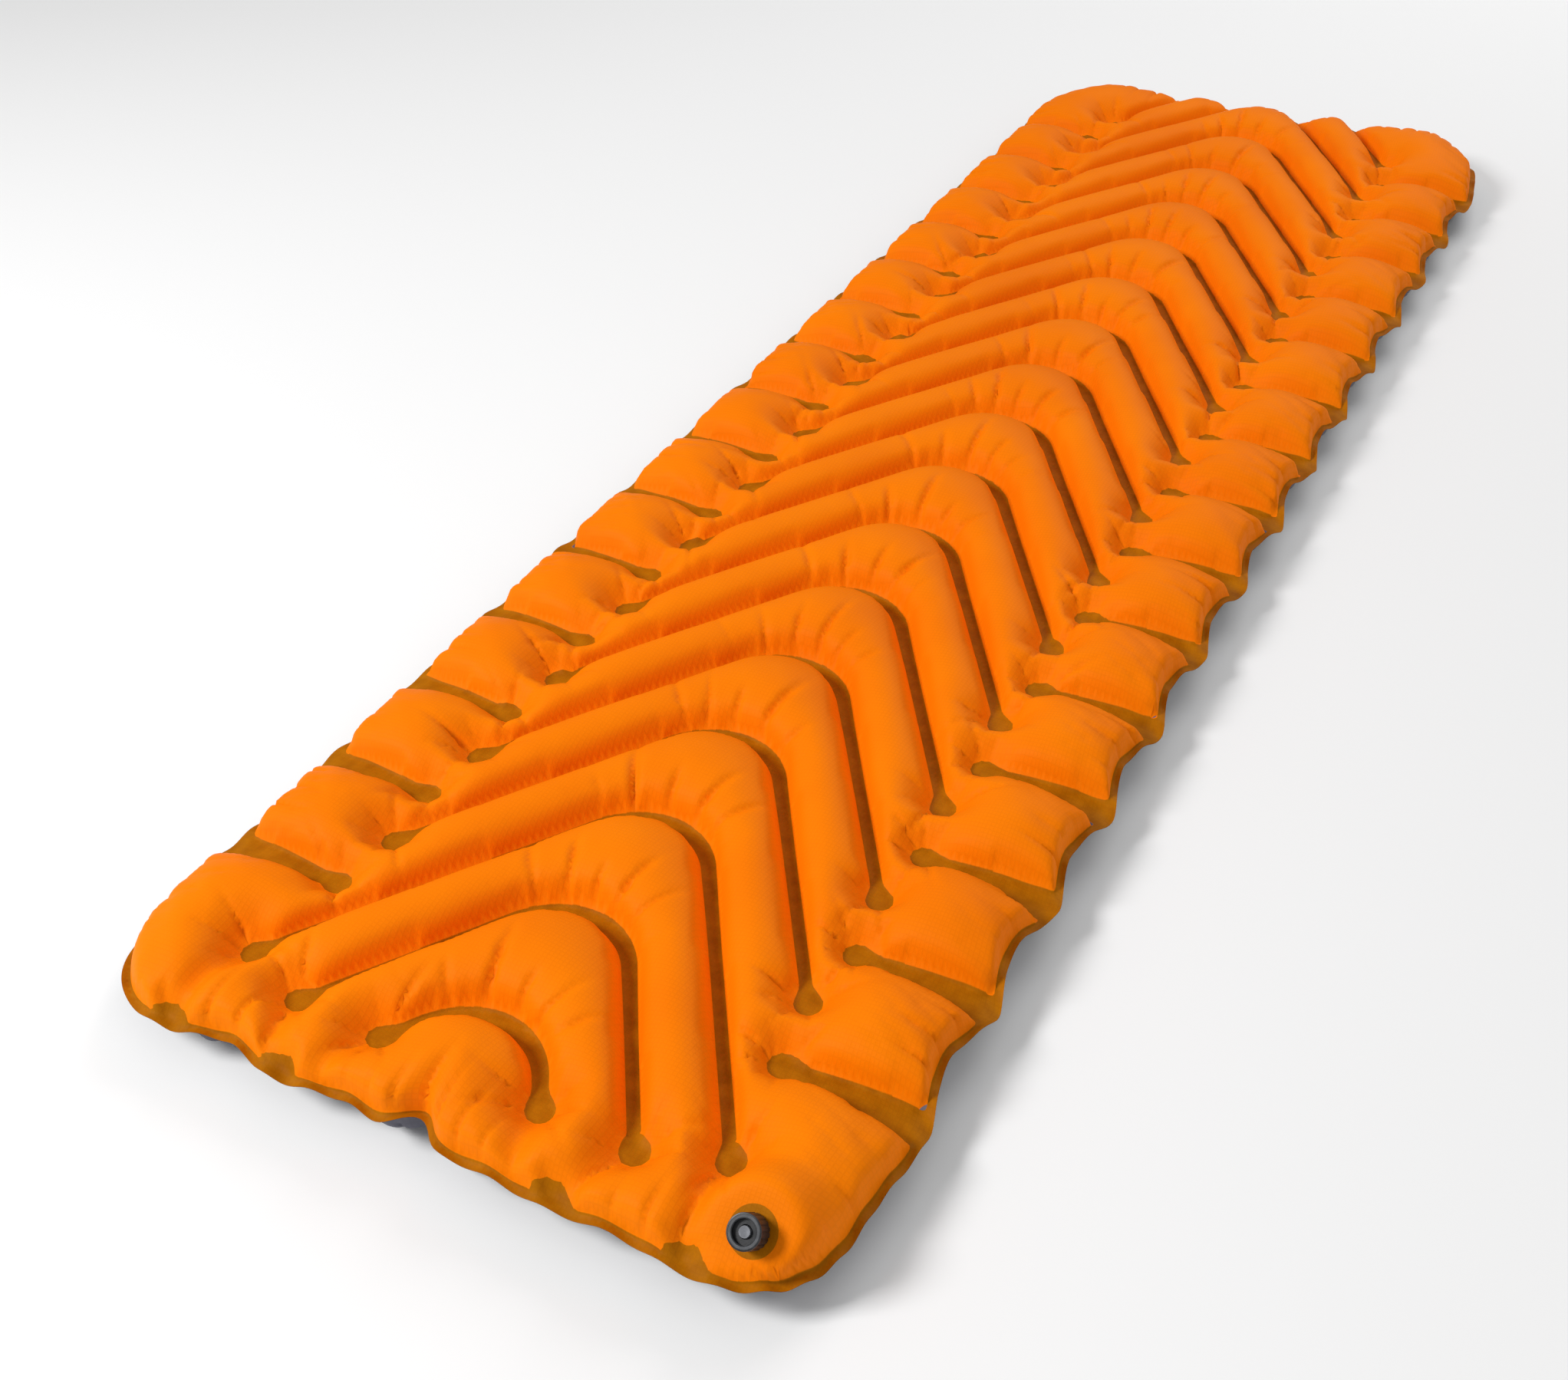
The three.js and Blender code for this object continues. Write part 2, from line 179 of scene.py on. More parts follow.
def strip_half(reach):
    """Half the width of a chevron's strip: widest at the point."""
    return STRIP_HALF + APEX_EXTRA * np.exp(-((reach / APEX_SPREAD) ** 2))


def to_chevron(x, y, row):
    reach, drop = arm_end(row)
    side = np.abs(x)
    below = y - apex_y(row)
    turned = np.arctan2(side, below + APEX_RADIUS)
    to_arc = np.abs(np.hypot(side, below + APEX_RADIUS) - APEX_RADIUS)
    to_arm = to_segment(side, below, (ARC_REACH, -ARC_DROP), (reach, -drop))
    strip = np.where(turned < ARM_ANGLE, to_arc, to_arm) - strip_half(side)
    dot = np.hypot(side - reach, below + drop) - DOT_RADIUS
    return smooth_min(strip, dot, DOT_RADIUS)


def to_wedge(x, y, row):
    run = np.abs(x) - (PAD_WIDTH / 2 - WEDGE_LENGTH)
    off = np.abs(y - wedge_y(row))
    widening = (WEDGE_MOUTH_HALF - WEDGE_ROOT_HALF) * np.clip(run / WEDGE_LENGTH, 0, 1.2)
    strip = np.where(run > 0, off - WEDGE_ROOT_HALF - widening, np.hypot(run, off) - WEDGE_ROOT_HALF)
    dot = np.hypot(run, off) - DOT_RADIUS
    return smooth_min(strip, dot, DOT_RADIUS)


def inset_from_edge(x, y):
    """How far a point lies inside the outline, a rectangle with round corners."""
    past_x = np.abs(x) - (PAD_WIDTH / 2 - CORNER_RADIUS)
    past_y = np.abs(y) - (PAD_LENGTH / 2 - CORNER_RADIUS)
    outside = np.hypot(np.maximum(past_x, 0), np.maximum(past_y, 0))
    return CORNER_RADIUS - outside - np.minimum(np.maximum(past_x, past_y), 0)


def dot_places():
    """The centres of the round dots at the free ends of all chevrons and wedges."""
    for side in (1, -1):
        for row in range(1, CHEVRON_ROWS + 1):
            reach, drop = arm_end(row)
            yield side * reach, apex_y(row) - drop
        for row in range(FIRST_WEDGE, CHEVRON_ROWS):
            yield side * (PAD_WIDTH / 2 - WEDGE_LENGTH), wedge_y(row)


def to_dot(x, y):
    """Distance to the nearest dot."""
    nearest = np.full(np.shape(x), PAD_LENGTH)
    for place_x, place_y in dot_places():
        nearest = np.minimum(nearest, np.hypot(x - place_x, y - place_y) - DOT_RADIUS)
    return nearest


def to_weld(x, y):
    """Distance to the nearest weld of any kind."""
    nearest = inset_from_edge(x, y) - RIM_WELD
    for row in range(1, CHEVRON_ROWS + 1):
        nearest = np.minimum(nearest, to_chevron(x, y, row))
    for row in range(FIRST_WEDGE, CHEVRON_ROWS):
        nearest = np.minimum(nearest, to_wedge(x, y, row))
    for place in EAR_PLACES:
        nearest = np.minimum(nearest, np.hypot(np.abs(x) - place, y + PAD_LENGTH / 2) - EAR_RADIUS)
    return nearest


# %% [markdown]
# ## A net of triangles that knows the welds
# A square grid would cut the slanted welds into steps. A Delaunay net joins any set of points with
# well-shaped triangles, so the points are laid along every weld's edge first and in a honeycomb in
# between, and the edges of the net then run along the welds by themselves.

# %% Points for the net
CELL = 6.3 * MM
CLEAR = 0.55
SAME_SPOT = 0.35 * CELL


def evenly(x, y):
    """The same line with its points one cell apart."""
    run = np.concatenate([[0], np.cumsum(np.hypot(np.diff(x), np.diff(y)))])
    steps = max(2, round(run[-1] / CELL))
    at = np.linspace(0, run[-1], steps + 1)
    return np.stack([np.interp(at, run, x), np.interp(at, run, y)], 1)


def dot_or_strip(to_dot, strip):
    """Half width of a weld near its end, where the round dot is wider than the strip."""
    dot = np.sqrt(np.maximum(DOT_RADIUS**2 - to_dot**2, 0))
    return np.where(to_dot > 0, np.maximum(dot, strip), dot)


def chevron_edges(row):
    reach, drop = arm_end(row)
    arc = APEX_RADIUS * ARM_ANGLE
    arm = math.hypot(reach - ARC_REACH, drop - ARC_DROP)
    run = np.linspace(0, arc + arm + DOT_RADIUS, 1200)
    angle = np.minimum(run / APEX_RADIUS, ARM_ANGLE)
    past = np.maximum(run - arc, 0)
    x = APEX_RADIUS * np.sin(angle) + past * math.cos(ARM_ANGLE)
    y = apex_y(row) - APEX_RADIUS * (1 - np.cos(angle)) - past * math.sin(ARM_ANGLE)
    half = dot_or_strip(arc + arm - run, strip_half(x))
    for side in (1, -1):
        for edge in (1, -1):
            line_x = x + edge * half * np.sin(angle)
            yield evenly(side * line_x, y + edge * half * np.cos(angle))


def wedge_edges(row):
    run = np.linspace(-DOT_RADIUS, WEDGE_LENGTH, 400)
    strip = WEDGE_ROOT_HALF + (WEDGE_MOUTH_HALF - WEDGE_ROOT_HALF) * run / WEDGE_LENGTH
    half = dot_or_strip(run, strip)
    for side in (1, -1):
        for edge in (1, -1):
            yield evenly(side * (PAD_WIDTH / 2 - WEDGE_LENGTH + run), wedge_y(row) + edge * half)


def rounded_outline(inset):
    """Points along the pad's outline, moved in by inset."""
    quarter = np.linspace(0, math.pi / 2, 60)
    radius = CORNER_RADIUS - inset
    x = PAD_WIDTH / 2 - CORNER_RADIUS + radius * np.cos(quarter)
    y = PAD_LENGTH / 2 - CORNER_RADIUS + radius * np.sin(quarter)
    loop_x = np.concatenate([x, -x[::-1], -x, x[::-1], x[:1]])
    loop_y = np.concatenate([y, y[::-1], -y, -y[::-1], y[:1]])
    return evenly(loop_x, loop_y)[:-1]


def onto(distance, points):
    """Moves points onto the line where the distance is nought."""
    nudge = 0.2 * MM
    for _ in range(2):
        x, y = points.T
        off = distance(x, y)
        slope_x = (distance(x + nudge, y) - distance(x - nudge, y)) / (2 * nudge)
        slope_y = (distance(x, y + nudge) - distance(x, y - nudge)) / (2 * nudge)
        steep = np.maximum(slope_x**2 + slope_y**2, 0.25)
        points = points - np.stack([off * slope_x / steep, off * slope_y / steep], 1)
    return points


# %% Lay the points and join them
edge_points = [rounded_outline(RIM_WELD)]
for row in range(1, CHEVRON_ROWS + 1):
    edge_points += chevron_edges(row)
for row in range(FIRST_WEDGE, CHEVRON_ROWS):
    edge_points += wedge_edges(row)
edge_points = np.concatenate(edge_points)
edge_points = edge_points[np.abs(to_weld(*edge_points.T)) < 2 * MM]
edge_points = onto(to_weld, edge_points)
edge_points = edge_points[inset_from_edge(*edge_points.T) > 0.6 * RIM_WELD]

across = np.arange(-PAD_WIDTH / 2, PAD_WIDTH / 2, CELL)
along = np.arange(-PAD_LENGTH / 2, PAD_LENGTH / 2, CELL * math.sin(math.pi / 3))
comb_x, comb_y = np.meshgrid(across, along, indexing="ij")
comb_x = comb_x + CELL / 2 * (np.arange(len(along)) % 2)
comb = np.stack([comb_x.ravel(), comb_y.ravel()], 1)
comb = comb[np.abs(to_weld(*comb.T)) > CLEAR * CELL]
comb = comb[inset_from_edge(*comb.T) > CLEAR * CELL]

outline = rounded_outline(0)
points = np.concatenate([outline, edge_points, comb])
order = np.lexsort((points[:, 1], points[:, 0]))
points = points[order]
taken = set()
kept = []
for index, point in enumerate(points):
    square = (round(point[0] / SAME_SPOT), round(point[1] / SAME_SPOT))
    if square not in taken:
        taken.add(square)
        kept.append(index)
points = points[kept]
net = delaunay_2d_cdt([Vector(point) for point in points], [], [], 0, 1e-6)
plan = np.array([(point.x, point.y) for point in net[0]])
triangles = np.array([face for face in net[2] if len(face) == 3])
print(f"{len(plan)} points and {len(triangles)} triangles a sheet")

# %% [markdown]
# ## Blowing it up
# A film held at its edges and pushed from one side settles into the solution of Poisson's equation,
# and the square root of that turns a long chamber into a half-round tube with upright walls, as air
# does with cloth that can't stretch. It is solved on a plain grid by over-relaxation: every point
# is moved towards the mean of its four neighbours, black and white squares of the grid in turn.

# %% Height of the air under each point
FILM_CELL = 3 * MM
FILM_ROUNDS = 160
FILM_PUSH = 1.86
RIDGE_ROUNDS = 14
WIDEST_CROWN = 33 * MM
CROWN_POWER = 4
STRIP_WALL = 4.6
DOT_WALL = 1.25
RIM_WALL = 3.6
WALL_POWER = 3
VALLEY_DEPTH = 0.46
VALLEY_WIDTH = 10 * MM
FIRST_VALLEY = 82 * MM
VALLEY_PAST_EAR = 3 * MM

film_x = np.arange(-PAD_WIDTH / 2 - FILM_CELL, PAD_WIDTH / 2 + 2 * FILM_CELL, FILM_CELL)
film_y = np.arange(-PAD_LENGTH / 2 - FILM_CELL, PAD_LENGTH / 2 + 2 * FILM_CELL, FILM_CELL)
grid_x, grid_y = np.meshgrid(film_x, film_y, indexing="ij")
free = to_weld(grid_x, grid_y) > 0
film = np.zeros_like(grid_x)
checker = (np.add.outer(np.arange(len(film_x)), np.arange(len(film_y))) % 2).astype(bool)
turns = [(free & checker)[1:-1, 1:-1], (free & ~checker)[1:-1, 1:-1]]
for _ in range(FILM_ROUNDS):
    for turn in turns:
        middle = film[1:-1, 1:-1]
        mean = (film[2:, 1:-1] + film[:-2, 1:-1] + film[1:-1, 2:] + film[1:-1, :-2] + FILM_CELL**2) / 4
        middle[turn] += FILM_PUSH * (mean - middle)[turn]


# Each point also learns how full its chamber is, from the fullest point nearby in that chamber
ridge = film.copy()
for _ in range(RIDGE_ROUNDS):
    sides = [ridge[2:, 1:-1], ridge[:-2, 1:-1], ridge[1:-1, 2:], ridge[1:-1, :-2]]
    widest = np.maximum.reduce(sides + [ridge[1:-1, 1:-1]])
    ridge[1:-1, 1:-1] = np.where(free[1:-1, 1:-1], widest, 0)
for _ in range(RIDGE_ROUNDS):
    mean = (ridge[2:, 1:-1] + ridge[:-2, 1:-1] + ridge[1:-1, 2:] + ridge[1:-1, :-2]) / 4
    filled = np.where(mean > 0, np.maximum(mean, film[1:-1, 1:-1]), 0)
    ridge[1:-1, 1:-1] = np.where(free[1:-1, 1:-1], filled, ridge[1:-1, 1:-1])


def between_cells(field, x, y):
    """A field's value between the points of its grid."""
    column = (x - film_x[0]) / FILM_CELL
    row = (y - film_y[0]) / FILM_CELL
    i = np.clip(column.astype(int), 0, len(film_x) - 2)
    j = np.clip(row.astype(int), 0, len(film_y) - 2)
    u = column - i
    v = row - j
    low = field[i, j] * (1 - u) + field[i + 1, j] * u
    high = field[i, j + 1] * (1 - u) + field[i + 1, j + 1] * u
    return low * (1 - v) + high * v


def no_more_than(value, most, power):
    """The smaller of two positive values, with a soft change from one to the other."""
    return value * most / (value**power + most**power + 1e-12) ** (1 / power)


def foot_valleys(x, y):
    """1 along the creases that run from the first rows' dots to the foot edge, and 0 elsewhere."""
    ends = (FIRST_VALLEY, EAR_PLACES[0] + VALLEY_PAST_EAR, EAR_PLACES[1])
    valley = np.zeros(np.shape(x))
    for row, end in enumerate(ends, start=1):
        reach, drop = arm_end(row)
        away = to_segment(np.abs(x), y, (reach, apex_y(row) - drop), (end, -PAD_LENGTH / 2))
        valley = np.maximum(valley, np.exp(-((away / VALLEY_WIDTH) ** 2)))
    return valley


def crown_height(x, y):
    """Height of the blown-up sheet over the weld plane."""
    height = np.sqrt(2 * np.maximum(between_cells(film, x, y), 0))
    fullest = np.sqrt(2 * np.maximum(between_cells(ridge, x, y), 1e-8))
    height *= no_more_than(fullest, WIDEST_CROWN, CROWN_POWER) / fullest
    height = no_more_than(height, STRIP_WALL * np.maximum(to_weld(x, y), 0), WALL_POWER)
    height = no_more_than(height, DOT_WALL * np.maximum(to_dot(x, y), 0), WALL_POWER)
    height = no_more_than(height, RIM_WALL * np.maximum(inset_from_edge(x, y) - RIM_WELD, 0), WALL_POWER)
    return height * (1 - VALLEY_DEPTH * foot_valleys(x, y))


flat_x, flat_y = plan.T
weld_distance = to_weld(flat_x, flat_y)
height = crown_height(flat_x, flat_y)
print(f"crown {height.max() / MM:.1f} mm over the weld plane")

# %% [markdown]
# ## Spare cloth
# A flat sheet can't become a dome without gathering, so real pads pucker round each dot and on the
# inside of each bend. The Cloth modifier takes its spring lengths from a rest shape. Small ripples
# in that shape give it spare cloth just there, and the air then gathers it into natural creases.

# %% Ripples of spare cloth
PUCKER = 3.0 * MM
PUCKER_REACH = 19 * MM
PUCKER_RAYS = 9
BEND_CREASE = 4.2 * MM
BEND_RAYS = 19
BEND_RUN = 40 * MM
BEND_START = 7 * MM
BEND_FAN = 0.8
EDGE_CREASE = 3.0 * MM
EDGE_WAVE = 21 * MM
EDGE_REACH = 26 * MM
END_CREASE = 0.9 * MM
END_WAVE = 17 * MM
END_REACH = 34 * MM
GROOVE = 0.22
NOTCH_CREASE = 8 * MM
NOTCH_GROOVE = 4 * MM
NOTCH_RUN = 70 * MM
SPARE_SEED = 18
SPARE_EASE = 8 * MM
NOTCH_EASE = 9 * MM


def grooves(phase):
    """Narrow grooves, one each time the phase passes a multiple of pi."""
    return -np.exp(-((np.sin(phase) / GROOVE) ** 2))


def puckers(x, y, centre_x, centre_y, rng):
    """Rays of spare cloth round one weld dot, some longer and deeper than others."""
    away = np.hypot(x - centre_x, y - centre_y)
    turned = np.arctan2(y - centre_y, x - centre_x)
    start, swing, second = rng.uniform(0, 2 * math.pi, 3)
    phase = PUCKER_RAYS * turned / 2 + start + 0.5 * np.sin(turned + swing)
    uneven = 1 + 0.35 * np.cos(2 * turned + second) + 0.3 * np.cos(3 * turned + swing)
    fade = np.exp(-(((away - DOT_RADIUS) / (PUCKER_REACH * uneven)) ** 2))
    return PUCKER * grooves(phase) * uneven * fade


def bend_creases(x, y, row, rng):
    """Short rays of spare cloth on the inside of the bend above one chevron."""
    centre_y = apex_y(row) - APEX_RADIUS
    away = np.hypot(x, y - centre_y) - APEX_RADIUS
    turned = np.arctan2(x, y - centre_y)
    start, swing, second = rng.uniform(0, 2 * math.pi, 3)
    phase = BEND_RAYS * turned / 2 + start + 0.6 * np.sin(3 * turned + swing)
    uneven = 1 + 0.35 * np.cos(7 * turned + second)
    inside = np.clip(away / BEND_START, 0, 1) * np.exp(-((away / (BEND_RUN * uneven)) ** 4))
    fan = np.exp(-((turned / BEND_FAN) ** 4))
    return BEND_CREASE * grooves(phase) * inside * fan * (away > 0)


def edge_creases(x, y):
    """Ripples across the rim weld."""
    inset = inset_from_edge(x, y)
    around = np.where(np.abs(x) / PAD_WIDTH > np.abs(y) / PAD_LENGTH, y, x)
    phase = math.pi * around / EDGE_WAVE + 1.1 * np.sin(around / (41 * MM))
    uneven = 1 + 0.4 * np.sin(around / (29 * MM) + 1)
    return EDGE_CREASE * uneven * grooves(phase) * np.exp(-((inset / (EDGE_REACH * uneven)) ** 2))


def end_creases(x, y):
    """Ripples along the tubes where these run out to the long sides."""
    inset = PAD_WIDTH / 2 - np.abs(x)
    phase = math.pi * (y + 0.4 * np.abs(x)) / END_WAVE + 1.4 * np.sin(y / (53 * MM) + np.sign(x))
    fade = np.exp(-(((inset - END_REACH) / END_REACH) ** 2))
    return END_CREASE * grooves(phase) * fade * (0.6 + 0.4 * np.sin(y / (67 * MM)))


def notch_crease(x, y):
    """The fold that runs up from the notch in the middle of the foot edge."""
    run = np.clip((y + PAD_LENGTH / 2) / NOTCH_RUN, 0, 1)
    return -NOTCH_CREASE * np.exp(-np.abs(x) / NOTCH_GROOVE) * np.cos(run * math.pi / 2)


def spare_cloth(x, y, distance):
    """All ripples at these points of the pattern, easing to none at the welds."""
    rng = np.random.default_rng(SPARE_SEED)
    total = edge_creases(x, y) + end_creases(x, y)
    for row in range(1, CHEVRON_ROWS + 1):
        total += bend_creases(x, y, row, rng)
    for place_x, place_y in dot_places():
        total += puckers(x, y, place_x, place_y, rng)
    return total * np.clip(distance / SPARE_EASE, 0, 1)


spare = spare_cloth(flat_x, flat_y, weld_distance)
height += np.clip(weld_distance / NOTCH_EASE, 0, 1) * notch_crease(flat_x, flat_y)

# %% [markdown]
# ## Cloth simulation
# The sheet starts close to its blown-up shape, with every weld pinned, and the air settles the rest.
# With a dynamic base mesh the springs take their length from the mesh under the modifier, so after
# the first frame a shape key swaps in the shape with the spare cloth. Gravity is left out, because
# the air is far stronger, and the result is read off, so that no simulation stays in the file.

# %% Settle one sheet under pressure
CLOTH_FRAMES = 7
PRESSURE = 12.0
STIFFNESS = 50
REST_CROWN = 1.03
PINNED = 0.3 * MM
START_SPARE = 0.7
REST_SPARE = 1.3


def triangle_mesh(name, corners, faces):
    """A mesh of triangles with its corners at the given places."""
    mesh = bpy.data.meshes.new(name)
    mesh.from_pydata(corners.tolist(), [], faces.tolist())
    mesh.update()
    return mesh


def settle(start, rest):
    """The places of the sheet's corners after the air has pushed it out."""
    sheet = bpy.data.objects.new("settling", triangle_mesh("settling", start, triangles))
    scene = bpy.context.scene
    scene.collection.objects.link(sheet)
    sheet.shape_key_add(name="Basis")
    key = sheet.shape_key_add(name="spare cloth")
    key.data.foreach_set("co", rest.ravel())
    key.value = 0
    pins = sheet.vertex_groups.new(name="welds")
    pins.add([int(i) for i in np.flatnonzero(weld_distance < PINNED)], 1.0, "REPLACE")
    cloth = sheet.modifiers.new("air", "CLOTH")
    settings = cloth.settings
    settings.quality = 5
    settings.mass = 0.05
    settings.tension_stiffness = STIFFNESS
    settings.compression_stiffness = STIFFNESS
    settings.shear_stiffness = STIFFNESS / 2
    settings.bending_stiffness = 0.03
    settings.tension_damping = 0.5
    settings.compression_damping = 0.5
    settings.shear_damping = 0.5
    settings.bending_damping = 0.05
    settings.use_pressure = True
    settings.uniform_pressure_force = PRESSURE
    settings.use_dynamic_mesh = True
    settings.effector_weights.gravity = 0
    settings.vertex_group_mass = "welds"
    cloth.collision_settings.use_collision = False
    cloth.point_cache.frame_start = 1
    cloth.point_cache.frame_end = CLOTH_FRAMES
    scene.frame_start = 1
    scene.frame_end = CLOTH_FRAMES
    places = np.empty(3 * len(start))
    for step in range(1, CLOTH_FRAMES + 1):
        if step == 2:
            key.value = 1
        scene.frame_set(step)
        evaluated = sheet.evaluated_get(bpy.context.evaluated_depsgraph_get())
        evaluated.data.vertices.foreach_get("co", places)
    bpy.data.objects.remove(sheet)
    scene.frame_set(1)
    return places.reshape(-1, 3)


start = np.stack([flat_x, flat_y, height + START_SPARE * spare], 1)
rest = np.stack([flat_x, flat_y, REST_CROWN * height + REST_SPARE * spare], 1)
settled = settle(start, rest)
print(f"settled crown {settled[:, 2].max() / MM:.1f} mm")

# %% [markdown]
# ## The edge gathers
# Blowing up the outer chambers pulls the rim in between its flat wedges, so the outline is scalloped
# and the wedges stick out as ears that droop. Both sheets share the rim, so one field moves both.
# The chambers' outer walls also belly out over the rim weld, as any blown-up seam does.

# %% How far the rim moves
SIDE_PULL = 12 * MM
FOOT_PULL = 10 * MM
HEAD_PULL = 8 * MM
FOOT_NOTCH = 20 * MM
NOTCH_WIDTH = 15 * MM
RIGHT_SHARE = 0.35
CORNER_PULL = 13 * MM
CORNER_REACH = 60 * MM
RIM_REACH = 18 * MM
PULL_REACH = 48 * MM
EAR_DROOP = 7 * MM
FLUTTER = 2.2 * MM
FLUTTER_WAVE = 37 * MM
HEAD_SPLIT = 100 * MM
BELLY = 8 * MM
BELLY_PEAK = 15 * MM
BELLY_REACH = 30 * MM
BELLY_EASE = 12 * MM


def hump(share):
    """0 at each end of a bay and 1 in its middle."""
    return np.sin(math.pi * np.clip(share, 0, 1)) ** 2


def side_bays(y):
    """Share of the full pull along the long sides: none at a wedge, all midway between two."""
    first = wedge_y(FIRST_WEDGE)
    last = wedge_y(CHEVRON_ROWS - 1)
    bays = np.abs(np.sin(math.pi * (y - first) / PITCH)) ** 1.3
    foot_bay = 0.5 * hump((y + PAD_LENGTH / 2) / (first + PAD_LENGTH / 2))
    head_bay = 0.5 * hump((y - last) / (PAD_LENGTH / 2 - last))
    return np.where(y < first, foot_bay, np.where(y > last, head_bay, bays))


def foot_bays(x):
    side = np.abs(x)
    inner, outer = EAR_PLACES
    bays = FOOT_PULL * (0.7 * hump(side / inner) + hump((side - inner) / (outer - inner)))
    notch = FOOT_NOTCH * np.exp(-((x / NOTCH_WIDTH) ** 2))
    return np.where(x > 0, RIGHT_SHARE, 1) * bays + notch


def head_bays(x):
    side = np.abs(x)
    return HEAD_PULL * (hump(side / HEAD_SPLIT) + hump((side - HEAD_SPLIT) / (1.2 * HEAD_SPLIT)))


def edge_move(x, y):
    """How the rim's gathering moves a point of the flat pattern."""
    near_side = np.exp(-(((PAD_WIDTH / 2 - np.abs(x)) / PULL_REACH) ** 2))
    near_foot = np.exp(-(((y + PAD_LENGTH / 2) / PULL_REACH) ** 2))
    near_head = np.exp(-(((y - PAD_LENGTH / 2) / PULL_REACH) ** 2))
    move_x = -np.sign(x) * SIDE_PULL * side_bays(y) * near_side
    move_y = foot_bays(x) * near_foot - head_bays(x) * near_head
    from_side = PAD_WIDTH / 2 - CORNER_REACH / 2 - np.abs(x)
    from_head = PAD_LENGTH / 2 - CORNER_REACH / 2 - y
    to_corner = np.hypot(from_side, from_head)
    corner = CORNER_PULL * np.exp(-((to_corner / CORNER_REACH) ** 2))
    move_x -= np.sign(x) * corner
    move_y -= corner
    rim = np.exp(-inset_from_edge(x, y) / RIM_REACH)
    around = x + y
    flutter = np.sin(2 * math.pi * around / FLUTTER_WAVE + 1.7 * np.sin(around / (83 * MM)))
    droop = -EAR_DROOP * (1 - side_bays(y)) * near_side**2
    return np.stack([move_x, move_y, FLUTTER * flutter * rim + droop], 1)


def belly(x, y, distance):
    """How far the air pushes a chamber's wall out over the rim weld below it."""
    share = inset_from_edge(x, y) / BELLY_PEAK
    push = BELLY * share * np.exp(1 - share) * np.clip(distance / BELLY_EASE, 0, 1)
    side = np.exp(-(((PAD_WIDTH / 2 - np.abs(x)) / BELLY_REACH) ** 2))
    foot = np.exp(-(((y + PAD_LENGTH / 2) / BELLY_REACH) ** 2))
    head = np.exp(-(((y - PAD_LENGTH / 2) / BELLY_REACH) ** 2))
    return np.stack([np.sign(x) * push * side, push * (head - foot), 0 * x], 1)


# %% [markdown]
# ## The valve's seat
# Under the valve lies a stiff disc, which holds the top sheet flat and leans towards the foot. The
# sheet is drawn onto that plane round the valve, and let go gradually further out.

# %% Draw the top sheet onto the seat
sleeve_joint = next(j for j in frame["record"]["behaviour"]["joints"] if j["name"] == "sleeve_turn")
SEAT = np.array(sleeve_joint["pos_m"])
LEAN = np.array(sleeve_joint["axis"])
SEAT_FLAT = 21 * MM
SEAT_BLEND = 46 * MM
WELD_EASE = 4 * MM
STEM_HOLE = 8 * MM
ON_SEAT = 3 * MM
PATCH_RADIUS = 15.6 * MM


def from_seat(places):
    """Distance from the valve's axis, and height over the seat's plane."""
    off = places - SEAT
    over = off @ LEAN
    return np.linalg.norm(off - np.outer(over, LEAN), axis=1), over


def onto_seat(places, distance):
    """The places drawn onto the seat's plane near the valve, but not on a weld, which stays put."""
    away, over = from_seat(places)
    share = np.clip((SEAT_BLEND - away) / (SEAT_BLEND - SEAT_FLAT), 0, 1)
    share = share**2 * (3 - 2 * share) * np.clip(distance / WELD_EASE, 0, 1)
    return places - np.outer(over * share, LEAN)


# %% [markdown]
# ## Fabric in two colours
# Both sheets are the same ripstop nylon, orange above and grey-blue below, so one function makes
# both. A value stored on the mesh says where the fabric is welded: there two coated layers are
# fused and the colour turns brown. The weave follows the pattern's own flat map, its UVs, because
# Object coordinates would stretch it over the upright walls.

# %% Helpers for materials
def new_material(name, roughness, metallic=0.0, specular=0.5):
    """A material, its node tree and its shader."""
    material = bpy.data.materials.new(name)
    material.use_nodes = True
    tree = material.node_tree
    shader = tree.nodes["Principled BSDF"]
    shader.inputs["Roughness"].default_value = roughness
    shader.inputs["Metallic"].default_value = metallic
    shader.inputs["Specular IOR Level"].default_value = specular
    return material, tree, shader


def add_node(tree, kind, links=None, **values):
    """A node of this kind, with its inputs set or linked by name or number."""
    node = tree.nodes.new(kind)
    for name, value in values.items():
        setattr(node, name, value)
    for name, value in (links or {}).items():
        if isinstance(value, bpy.types.NodeSocket):
            tree.links.new(value, node.inputs[name])
        else:
            node.inputs[name].default_value = value
    return node


def mix_colour(tree, share, first, second):
    """Colour that goes from the first to the second as the share goes from 0 to 1."""
    node = tree.nodes.new("ShaderNodeMix")
    node.data_type = "RGBA"
    wanted = ((node.inputs["Factor"], share), (node.inputs[6], first), (node.inputs[7], second))
    for socket, value in wanted:
        if isinstance(value, bpy.types.NodeSocket):
            tree.links.new(value, socket)
        else:
            socket.default_value = value
    return node.outputs[2]


def band(tree, value, low, high):
    """0 below the band, 1 above it, and a straight ramp in it."""
    links = {"Value": value, "From Min": low, "From Max": high}
    return add_node(tree, "ShaderNodeMapRange", links).outputs["Result"]


# %% Ripstop nylon
THREAD_GRID = 3.2 * MM
THREAD_SHARE = 0.82


